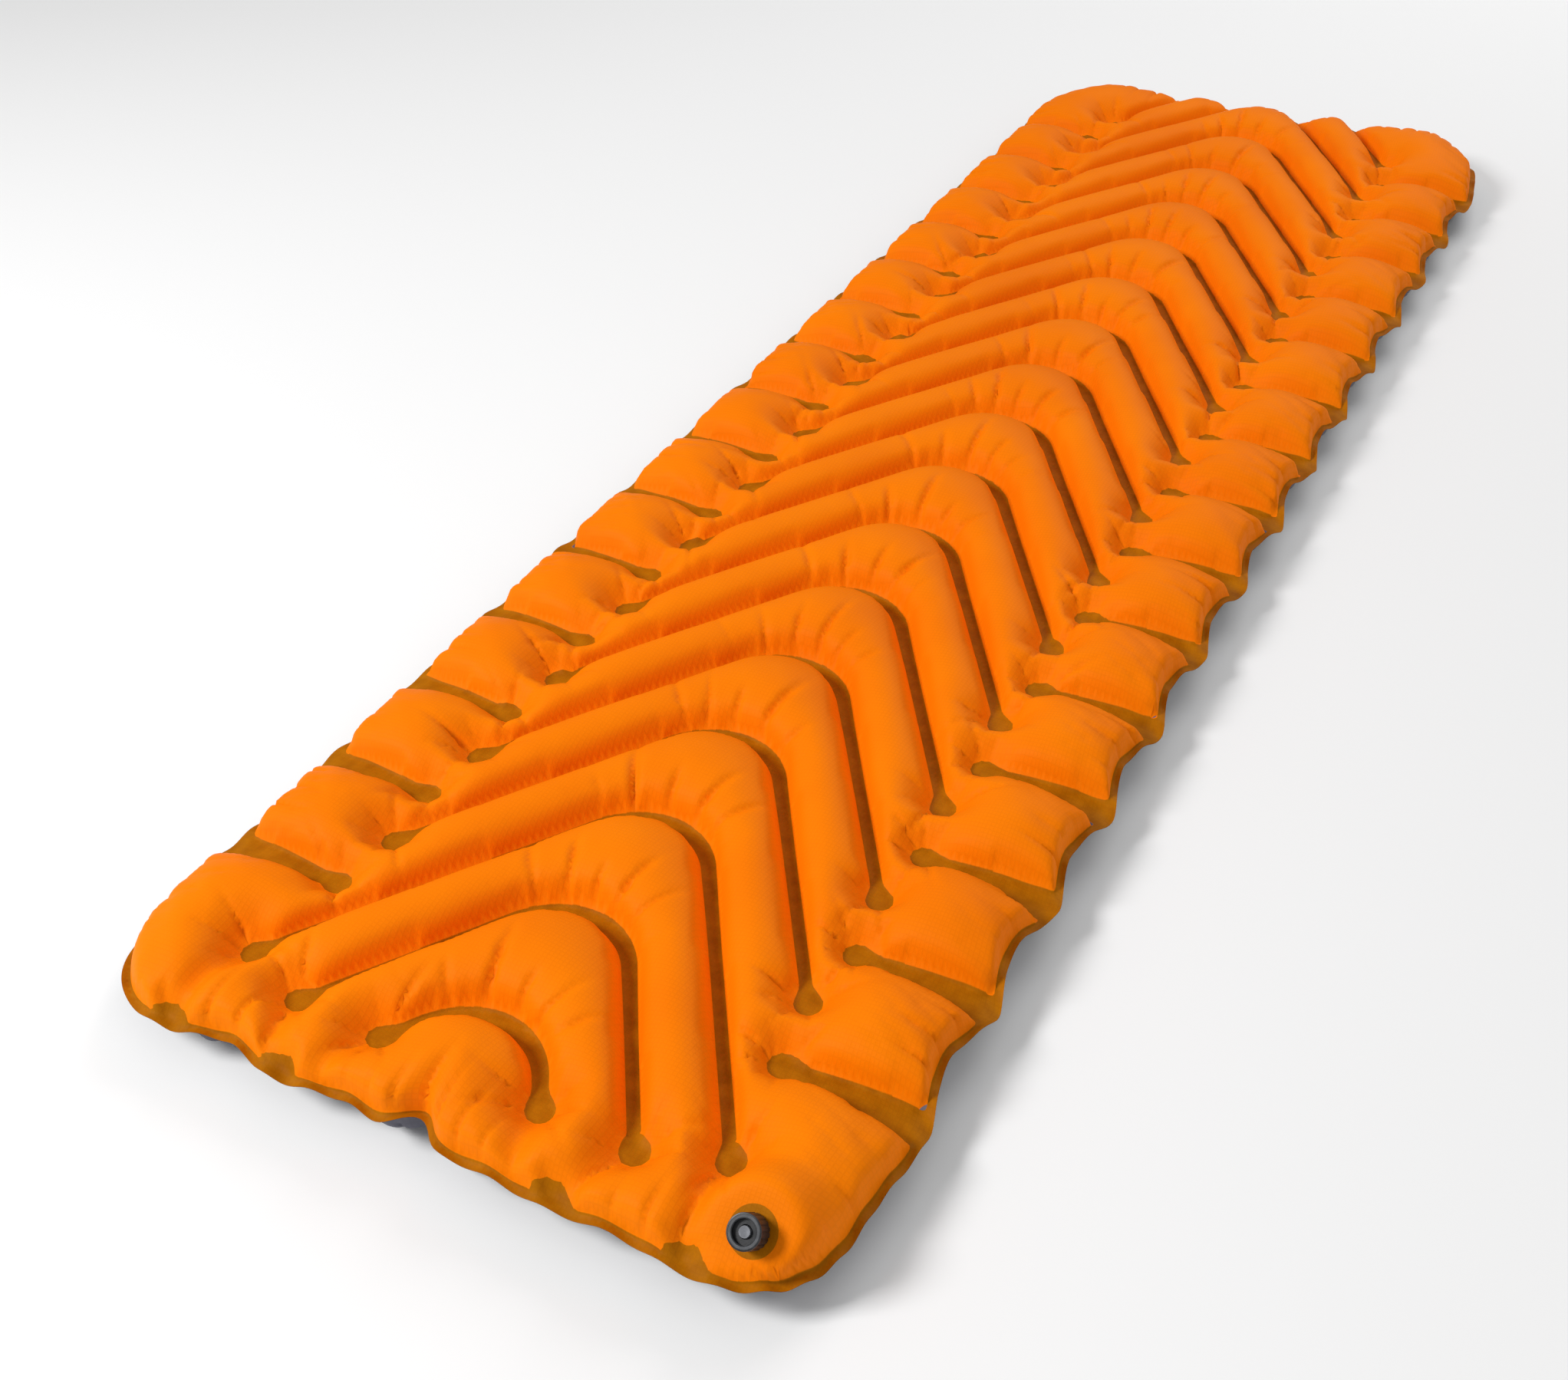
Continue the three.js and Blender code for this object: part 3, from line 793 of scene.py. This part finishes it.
def ripstop(name, lit, shaded, welded, fused):
    """Coated ripstop: painted lit and shaded tones of the cloth, mixed in patches, and two tones of its
    welds.
    """
    material, tree, shader = new_material(name, 0.58, specular=0.05)
    place = add_node(tree, "ShaderNodeTexCoord").outputs["Object"]
    flat = add_node(tree, "ShaderNodeUVMap", uv_map="pattern").outputs["UV"]
    # Painted light and shade: noise mixes the cloth's lit and shaded tones in patches over the sheet.
    lit_shade_patches = add_node(tree, "ShaderNodeTexNoise", {"Vector": place, "Scale": 9.0, "Detail": 3.0})
    tone = band(tree, lit_shade_patches.outputs["Fac"], 0.35, 0.7)
    cloth = mix_colour(tree, tone, lit, shaded)
    mottle = add_node(tree, "ShaderNodeTexNoise", {"Vector": flat, "Scale": 70.0, "Detail": 4.0})
    brown = mix_colour(tree, band(tree, mottle.outputs["Fac"], 0.3, 0.7), welded, fused)
    weld = add_node(tree, "ShaderNodeAttribute", attribute_name="weld").outputs["Fac"]
    is_weld = band(tree, weld, 0.47, 0.496)
    colour = mix_colour(tree, is_weld, cloth, brown)
    split = add_node(tree, "ShaderNodeSeparateXYZ", {"Vector": flat})
    threads = []
    for axis in ("X", "Y"):
        links = {0: split.outputs[axis], 1: THREAD_GRID}
        count = add_node(tree, "ShaderNodeMath", links, operation="DIVIDE")
        place_in = add_node(tree, "ShaderNodeMath", {0: count.outputs[0]}, operation="FRACT")
        wave = add_node(tree, "ShaderNodeMath", {0: place_in.outputs[0], 1: math.pi}, operation="MULTIPLY")
        ridge = add_node(tree, "ShaderNodeMath", {0: wave.outputs[0]}, operation="SINE")
        threads.append(band(tree, ridge.outputs[0], THREAD_SHARE, 1.0))
    grid = add_node(tree, "ShaderNodeMath", {0: threads[0], 1: threads[1]}, operation="MAXIMUM").outputs[0]
    darker = add_node(tree, "ShaderNodeHueSaturation", {"Color": colour, "Value": 0.96, "Fac": 1.0})
    colour = mix_colour(tree, grid, colour, darker.outputs["Color"])
    tree.links.new(colour, shader.inputs["Base Color"])
    crease = add_node(tree, "ShaderNodeTexNoise", {"Vector": flat, "Scale": 55.0, "Detail": 2.0})
    raised = add_node(tree, "ShaderNodeMath", {0: grid, 1: 0.12}, operation="MULTIPLY").outputs[0]
    relief = add_node(tree, "ShaderNodeMath", {0: crease.outputs["Fac"], 1: raised}, operation="ADD")
    links = {"Height": relief.outputs[0], "Strength": 0.25, "Distance": 1.5 * MM}
    bump = add_node(tree, "ShaderNodeBump", links)
    tree.links.new(bump.outputs["Normal"], shader.inputs["Normal"])
    return material


def tone(red, green, blue):
    """A colour given in the screen's 0 to 255 as the linear light that shaders work in."""
    def linear(value):
        share = value / 255
        return share / 12.92 if share <= 0.04045 else ((share + 0.055) / 1.055) ** 2.4
    return (linear(red), linear(green), linear(blue), 1.0)


# The first two tones of each cloth are its painted lit and painted shaded tones; the last two are its welds.
orange_ripstop = ripstop(
    "orange_ripstop", tone(253, 129, 0), tone(247, 121, 0), tone(160, 92, 0), tone(182, 110, 3)
)
grey_ripstop = ripstop(
    "grey_ripstop", tone(112, 112, 122), tone(98, 98, 108), tone(92, 86, 84), tone(84, 80, 80)
)

# %% [markdown]
# ## The two sheets
# Each sheet is the net at its settled places. Its edges along a weld are creased, so subdivision
# rounds the chambers and leaves the welds crisp and flat. The finer mesh has room for sharper
# creases than the cloth simulation's, so the same ripples are pressed into it once more. The lower
# sheet is the upper one turned over, without the valve, and the ground flattens what hangs below.

# %% Make a sheet
SHEET_GAP = 0.1 * MM
WELD_FADE = 14 * MM
ON_WELD = 0.3 * MM
FINE_CREASE = 0.9


def link(mesh, name):
    piece = bpy.data.objects.new(name, mesh)
    bpy.context.scene.collection.objects.link(piece)
    return piece


def rounded_sheet(name, places, faces):
    """The net subdivided once, with its flat pattern as UVs and its weld edges kept sharp."""
    mesh = triangle_mesh(name + "_net", places, faces)
    corner_points = np.empty(len(mesh.loops), dtype=int)
    mesh.loops.foreach_get("vertex_index", corner_points)
    mesh.uv_layers.new(name="pattern").data.foreach_set("uv", plan[corner_points].ravel())
    sharp = mesh.attributes.new("crease_edge", "FLOAT", "EDGE")
    ends = np.empty(2 * len(mesh.edges), dtype=int)
    mesh.edges.foreach_get("vertices", ends)
    on_weld = (np.abs(weld_distance) < ON_WELD)[ends.reshape(-1, 2)].all(1)
    sharp.data.foreach_set("value", on_weld.astype(float))
    net = link(mesh, name + "_net")
    rounding = net.modifiers.new("rounding", "SUBSURF")
    rounding.levels = 1
    rounding.render_levels = 1
    rounding.uv_smooth = "NONE"
    finer = bpy.data.meshes.new_from_object(net.evaluated_get(bpy.context.evaluated_depsgraph_get()))
    bpy.data.objects.remove(net)
    bpy.data.meshes.remove(mesh)
    finer.name = name
    return finer


def make_sheet(name, places, faces, material, finish):
    """A rounded sheet with fine creases and with the value that marks its welds."""
    mesh = rounded_sheet(name, places, faces)
    corner_points = np.empty(len(mesh.loops), dtype=int)
    mesh.loops.foreach_get("vertex_index", corner_points)
    flat_corners = np.empty(2 * len(mesh.loops))
    mesh.uv_layers["pattern"].data.foreach_get("uv", flat_corners)
    flat = np.empty((len(mesh.vertices), 2))
    flat[corner_points] = flat_corners.reshape(-1, 2)
    spots = np.empty(3 * len(mesh.vertices))
    mesh.vertices.foreach_get("co", spots)
    normals = np.empty(3 * len(mesh.vertices))
    mesh.vertex_normals.foreach_get("vector", normals)
    distance = to_weld(flat[:, 0], flat[:, 1])
    depth = FINE_CREASE * spare_cloth(flat[:, 0], flat[:, 1], distance)
    spots = spots.reshape(-1, 3) + normals.reshape(-1, 3) * depth[:, None]
    value = np.clip(0.5 - (distance - ON_WELD) / WELD_FADE, 0, 1)
    spots, value = finish(spots, value, distance)
    mesh.vertices.foreach_set("co", spots.ravel())
    mesh.attributes.new("weld", "FLOAT", "POINT").data.foreach_set("value", value)
    mesh.materials.append(material)
    mesh.shade_smooth()
    piece = link(mesh, name)
    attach(piece, "pad")
    return piece


def finish_upper(spots, value, distance):
    """Flat on the valve's seat, with the round patch where the sheet is welded to the valve."""
    spots = onto_seat(spots, distance)
    away, over = from_seat(spots)
    patch = np.clip(0.5 + (PATCH_RADIUS - away) / WELD_FADE, 0, 1)
    return spots, np.maximum(value, np.where(np.abs(over) < ON_SEAT, patch, 0))


def finish_lower(spots, value, distance):
    """Nothing below the ground."""
    spots[:, 2] = np.maximum(spots[:, 2], 0)
    return spots, value


moved = edge_move(flat_x, flat_y) + belly(flat_x, flat_y, weld_distance)
upper = onto_seat(settled + moved + [0, 0, WELD_Z + SHEET_GAP], weld_distance)
away, over = from_seat(upper)
stem = (away < STEM_HOLE) & (np.abs(over) < ON_SEAT)
upper_faces = triangles[~stem[triangles].all(1)]
lower = settled * [1, 1, -1] + moved + [0, 0, WELD_Z - SHEET_GAP]
top_sheet = make_sheet("top_sheet_inflated", upper, upper_faces, orange_ripstop, finish_upper)
bottom_sheet = make_sheet("bottom_sheet_inflated", lower, triangles[:, ::-1], grey_ripstop, finish_lower)
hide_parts("top_sheet")
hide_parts("bottom_sheet")

# %% [markdown]
# ## The insulation inside
# A loose batt of fibre lies between the sheets, cut open wherever they are welded. It can't be seen
# with the pad closed, but it is a real piece. It takes the net's points that are clear of the
# welds and swells from nothing at each cut to its full loft.

# %% Make the batt
BATT_CLEAR = 3 * MM
BATT_INSET = 24 * MM
BATT_HALF = 5.5 * MM
BATT_EASE = 9 * MM
BATT_TUFTS = 0.12
BATT_SEED = 7
BATT_SHARE = 0.45

inset = inset_from_edge(flat_x, flat_y)
inner = np.minimum(weld_distance - BATT_CLEAR, inset - BATT_INSET)
in_batt = inner > 0
batt_faces = triangles[in_batt[triangles].all(1)]
sides = [batt_faces[:, [0, 1]], batt_faces[:, [1, 2]], batt_faces[:, [2, 0]]]
pairs = np.sort(np.concatenate(sides), axis=1)
pair_list, pair_count = np.unique(pairs, axis=0, return_counts=True)
on_rim = np.zeros(len(plan), dtype=bool)
on_rim[pair_list[pair_count == 1].ravel()] = True
rng = np.random.default_rng(BATT_SEED)
tufted = 1 + BATT_TUFTS * rng.standard_normal(len(plan))
loft = BATT_HALF * np.sqrt(np.clip(inner / BATT_EASE, 0, 1)) * tufted
loft = np.minimum(loft, BATT_SHARE * np.clip(settled[:, 2], 0, None))
loft[on_rim] = 0
batt_plan = np.stack([flat_x, flat_y, np.full(len(plan), WELD_Z)], 1) + moved * 0.5
both_plans = np.concatenate([batt_plan + np.outer(loft, [0, 0, 1]), batt_plan - np.outer(loft, [0, 0, 1])])
both_faces = np.concatenate([batt_faces, batt_faces[:, ::-1] + len(plan)])
batt_mesh = triangle_mesh("insulation_batt_lofted", both_plans, both_faces)
work = bmesh.new()
work.from_mesh(batt_mesh)
loose = [vert for vert in work.verts if not vert.link_faces]
bmesh.ops.delete(work, geom=loose, context="VERTS")
bmesh.ops.remove_doubles(work, verts=work.verts, dist=0.01 * MM)
work.to_mesh(batt_mesh)
work.free()
batt_mesh.shade_smooth()

fibre, tree, shader = new_material("fibre_batt", 0.9, specular=0.2)
shader.inputs["Sheen Weight"].default_value = 0.5
place = add_node(tree, "ShaderNodeTexCoord").outputs["Object"]
tufts = add_node(tree, "ShaderNodeTexNoise", {"Vector": place, "Scale": 160.0, "Detail": 6.0})
fluff = mix_colour(tree, tufts.outputs["Fac"], tone(226, 226, 222), tone(250, 250, 247))
tree.links.new(fluff, shader.inputs["Base Color"])
bump = add_node(tree, "ShaderNodeBump", {"Height": tufts.outputs["Fac"], "Strength": 0.6, "Distance": 0.002})
tree.links.new(bump.outputs["Normal"], shader.inputs["Normal"])
batt_mesh.materials.append(fibre)
batt = link(batt_mesh, "insulation_batt_lofted")
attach(batt, "pad")
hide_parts("insulation_batt")
print(f"batt of {len(batt_mesh.polygons)} triangles")

# %% [markdown]
# ## Moulded plastic and rubber
# The valve's inner pieces have the right shape already, so they only need a finish. Moulded plastic
# has a fine spark-eroded grain, which is a small bump, and it is rubbed a little paler and
# smoother in places, which noise in the colour and the roughness gives.

# %% Finish the valve's pieces
GRAIN = 2600.0


def moulded(name, dark, pale, roughness):
    """Plastic or rubber with a fine grain and slightly uneven gloss."""
    material, tree, shader = new_material(name, roughness)
    place = add_node(tree, "ShaderNodeTexCoord").outputs["Object"]
    wear = add_node(tree, "ShaderNodeTexNoise", {"Vector": place, "Scale": 260.0, "Detail": 4.0})
    colour = mix_colour(tree, band(tree, wear.outputs["Fac"], 0.4, 0.75), dark, pale)
    tree.links.new(colour, shader.inputs["Base Color"])
    gloss_links = {"Value": wear.outputs["Fac"], "To Min": roughness - 0.08, "To Max": roughness + 0.12}
    gloss = add_node(tree, "ShaderNodeMapRange", gloss_links)
    tree.links.new(gloss.outputs["Result"], shader.inputs["Roughness"])
    grain = add_node(tree, "ShaderNodeTexNoise", {"Vector": place, "Scale": GRAIN, "Detail": 2.0})
    links = {"Height": grain.outputs["Fac"], "Strength": 0.3, "Distance": 0.0001}
    bump = add_node(tree, "ShaderNodeBump", links)
    tree.links.new(bump.outputs["Normal"], shader.inputs["Normal"])
    return material


valve_black = moulded("valve_black", tone(24, 25, 28), tone(44, 45, 49), 0.38)
ring_grey = moulded("ring_grey", tone(62, 64, 68), tone(84, 86, 90), 0.45)
plug_grey = moulded("plug_grey", tone(104, 106, 112), tone(136, 138, 144), 0.42)
seal_rubber = moulded("seal_rubber", tone(30, 30, 31), tone(40, 40, 41), 0.6)
finishes = {
    "valve_base": valve_black,
    "valve_plug": plug_grey,
    "plug_gasket": seal_rubber,
    "sleeve_seal": seal_rubber,
}
for node, finish in finishes.items():
    for material_slot in frame["nodes"][node].material_slots:
        material_slot.link = "OBJECT"
        material_slot.material = finish

# %% [markdown]
# ## The twist sleeve
# The sleeve is what the hand turns, so it gets rounded flutes and edges. It is turned round the
# stem's axis from one profile, and a grey ring on its rim takes the place of printed words.

# %% Turn the sleeve
SLEEVE_RADIUS = 11 * MM
SLEEVE_FOOT = 1 * MM
SLEEVE_TOP = 16 * MM
SLEEVE_BORE = 7.9 * MM
GROOVE_RADIUS = 9.6 * MM
GROOVE_LOW = 2.7 * MM
GROOVE_HIGH = 4.7 * MM
WEB_LOW = 11.1 * MM
WEB_HIGH = 12.8 * MM
WEB_HOLE = 4.1 * MM
RING_INNER = 7.6 * MM
EASE_EDGE = 0.5 * MM
FLUTES = 18
FLUTE_DEPTH = 0.55 * MM
STEPS_A_FLUTE = 12

# Each point of the profile: radius, height over the seat, and share of the flute's depth there.
sleeve_profile = [
    (SLEEVE_RADIUS - EASE_EDGE, SLEEVE_FOOT, 0.5),
    (SLEEVE_RADIUS - 0.3 * EASE_EDGE, SLEEVE_FOOT + 0.3 * EASE_EDGE, 0.8),
    (SLEEVE_RADIUS, SLEEVE_FOOT + EASE_EDGE, 1),
    (SLEEVE_RADIUS, SLEEVE_TOP - 1.6 * MM, 1),
    (SLEEVE_RADIUS, SLEEVE_TOP - 1.2 * MM, 0),
    (SLEEVE_RADIUS, SLEEVE_TOP - EASE_EDGE, 0),
    (SLEEVE_RADIUS - 0.3 * EASE_EDGE, SLEEVE_TOP - 0.3 * EASE_EDGE, 0),
    (SLEEVE_RADIUS - EASE_EDGE, SLEEVE_TOP, 0),
    (SLEEVE_RADIUS - 1.1 * MM, SLEEVE_TOP, 0),
    (SLEEVE_RADIUS - 1.2 * MM, SLEEVE_TOP - 0.1 * MM, 0),
    (RING_INNER + 0.6 * MM, SLEEVE_TOP - 0.1 * MM, 0),
    (RING_INNER + 0.5 * MM, SLEEVE_TOP, 0),
    (RING_INNER, SLEEVE_TOP - 0.3 * MM, 0),
    (RING_INNER, WEB_HIGH, 0),
    (WEB_HOLE + 0.2 * MM, WEB_HIGH, 0),
    (WEB_HOLE, WEB_HIGH - 0.2 * MM, 0),
    (WEB_HOLE, WEB_LOW, 0),
    (SLEEVE_BORE, WEB_LOW, 0),
    (SLEEVE_BORE, GROOVE_HIGH, 0),
    (GROOVE_RADIUS, GROOVE_HIGH, 0),
    (GROOVE_RADIUS, GROOVE_LOW, 0),
    (SLEEVE_BORE, GROOVE_LOW, 0),
    (SLEEVE_BORE, SLEEVE_FOOT, 0),
]
RING_FACES = 9
around_count = FLUTES * STEPS_A_FLUTE
work = bmesh.new()
rings = []
for radius, level, share in sleeve_profile:
    ring = []
    for step in range(around_count):
        turn = 2 * math.pi * step / around_count
        flute = share * FLUTE_DEPTH * max(0, math.cos(FLUTES * turn)) ** 2
        place = ((radius - flute) * math.cos(turn), (radius - flute) * math.sin(turn), level)
        ring.append(work.verts.new(place))
    rings.append(ring)
for step, ring in enumerate(rings):
    inner_ring = rings[(step + 1) % len(rings)]
    for spot in range(around_count):
        after = (spot + 1) % around_count
        face = work.faces.new((ring[spot], ring[after], inner_ring[after], inner_ring[spot]))
        face.material_index = 1 if step == RING_FACES else 0
upright = Vector((0, 0, 1)).rotation_difference(Vector(LEAN)).to_matrix()
bmesh.ops.rotate(work, verts=work.verts, cent=(0, 0, 0), matrix=upright)
bmesh.ops.translate(work, verts=work.verts, vec=Vector(SEAT))
bmesh.ops.recalc_face_normals(work, faces=work.faces)
sleeve_mesh = bpy.data.meshes.new("twist_sleeve_turned")
work.to_mesh(sleeve_mesh)
work.free()
sleeve_mesh.materials.append(valve_black)
sleeve_mesh.materials.append(ring_grey)
sleeve_mesh.shade_smooth()
sleeve_mesh.set_sharp_from_angle(angle=math.radians(35))
sleeve = link(sleeve_mesh, "twist_sleeve_turned")
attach(sleeve, "sleeve")
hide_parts("twist_sleeve")

# %% [markdown]
# ## Floor and light
# A pale floor and soft light from large panels keep the shadows gentle, as in a product studio.

# %% Floor, panels and sky
FLOOR_SIZE = 12.0
floor_mesh = bpy.data.meshes.new("floor")
work = bmesh.new()
bmesh.ops.create_grid(work, x_segments=1, y_segments=1, size=FLOOR_SIZE / 2)
bmesh.ops.translate(work, verts=work.verts, vec=(0, 0, -0.5 * MM))
work.to_mesh(floor_mesh)
work.free()
floor = link(floor_mesh, "floor")
paper, tree, shader = new_material("paper", 0.9, specular=0.1)
shader.inputs["Base Color"].default_value = (0.95, 0.95, 0.95, 1)
floor_mesh.materials.append(paper)


def panel(name, place, aim, size, power):
    """A square light panel that faces the point it is aimed at."""
    lamp = bpy.data.lights.new(name, "AREA")
    lamp.size = size
    lamp.energy = power
    lamp_object = bpy.data.objects.new(name, lamp)
    lamp_object.location = place
    lamp_object.rotation_euler = (Vector(aim) - Vector(place)).to_track_quat("-Z", "Y").to_euler()
    bpy.context.scene.collection.objects.link(lamp_object)


panel("key", (-1.9, -2.3, 2.5), (0, -0.2, 0), 1.0, 98)
panel("fill", (2.2, -1.6, 2.0), (0, -0.2, 0), 2.4, 13)
panel("back", (0.4, 2.6, 2.2), (0, 0.2, 0), 2.0, 38)
world = bpy.data.worlds.new("sky")
world.use_nodes = True
world.node_tree.nodes["Background"].inputs["Color"].default_value = (1, 1, 1, 1)
world.node_tree.nodes["Background"].inputs["Strength"].default_value = 0.3
bpy.context.scene.world = world
bpy.context.scene.view_settings.view_transform = "Standard"
